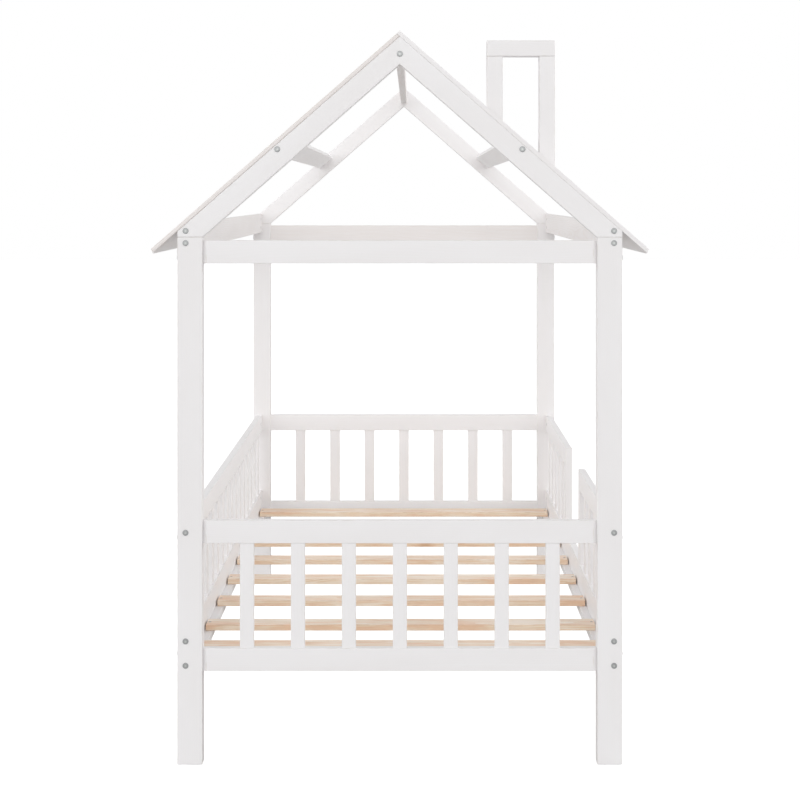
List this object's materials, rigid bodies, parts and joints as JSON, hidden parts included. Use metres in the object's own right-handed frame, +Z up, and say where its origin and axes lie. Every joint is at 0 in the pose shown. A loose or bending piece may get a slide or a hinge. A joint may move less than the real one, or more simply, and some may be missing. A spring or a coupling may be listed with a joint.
{
  "type": "house frame single bed",
  "caption": "Child's single bed as a white wooden house frame: open gable roof with a small chimney, low picket fences with a side entrance, and a slatted pine base",
  "frame": {"origin": "on the floor, under the middle of the bed", "axes": "+X across the bed towards the side with the entrance, +Y from the foot end (the gable with the verge boards) to the head end, +Z up"},
  "size_m": [1.1928, 1.9944, 1.7478],
  "materials": {
    "white_paint": "semi-matt white paint over planed pine",
    "raw_pine": "planed, unpainted",
    "beech": "fluted dowel rod, unpainted",
    "zinc_steel": "bright zinc plating"
  },
  "bodies": {
    "root": {"foot_left_post": "white_paint", "foot_right_post": "white_paint", "head_left_post": "white_paint", "head_right_post": "white_paint", "foot_bottom_rail": "white_paint", "foot_guard_rail": "white_paint", "foot_tie_rail": "white_paint", "foot_pickets": "white_paint", "head_bottom_rail": "white_paint", "head_guard_rail": "white_paint", "head_tie_rail": "white_paint", "head_pickets": "white_paint", "left_side_rail": "white_paint", "left_guard_rail": "white_paint", "left_pickets": "white_paint", "left_slat_ledger": "white_paint", "right_side_rail": "white_paint", "right_foot_guard_rail": "white_paint", "right_head_guard_rail": "white_paint", "right_foot_stile": "white_paint", "right_head_stile": "white_paint", "right_foot_pickets": "white_paint", "right_head_pickets": "white_paint", "right_slat_ledger": "white_paint", "slat_1": "raw_pine", "slat_2": "raw_pine", "slat_3": "raw_pine", "slat_4": "raw_pine", "slat_5": "raw_pine", "slat_6": "raw_pine", "slat_7": "raw_pine", "slat_8": "raw_pine", "left_eave_beam": "white_paint", "right_eave_beam": "white_paint", "foot_left_rafter": "white_paint", "foot_right_rafter": "white_paint", "head_left_rafter": "white_paint", "head_right_rafter": "white_paint", "ridge_beam": "white_paint", "left_purlin": "white_paint", "right_purlin": "white_paint", "left_eave_board": "white_paint", "right_eave_board": "white_paint", "left_verge_board": "white_paint", "right_verge_board": "white_paint", "chimney_inner_leg": "white_paint", "chimney_outer_leg": "white_paint", "chimney_top_board": "white_paint", "side_rail_bolts": "zinc_steel", "guard_rail_bolts": "zinc_steel", "eave_beam_bolts": "zinc_steel", "purlin_and_ridge_bolts": "zinc_steel", "end_rail_bolts": "zinc_steel", "barrel_nuts": "zinc_steel", "dowels": "beech", "slat_screws": "zinc_steel", "board_screws": "zinc_steel"}
  },
  "joints": []
}
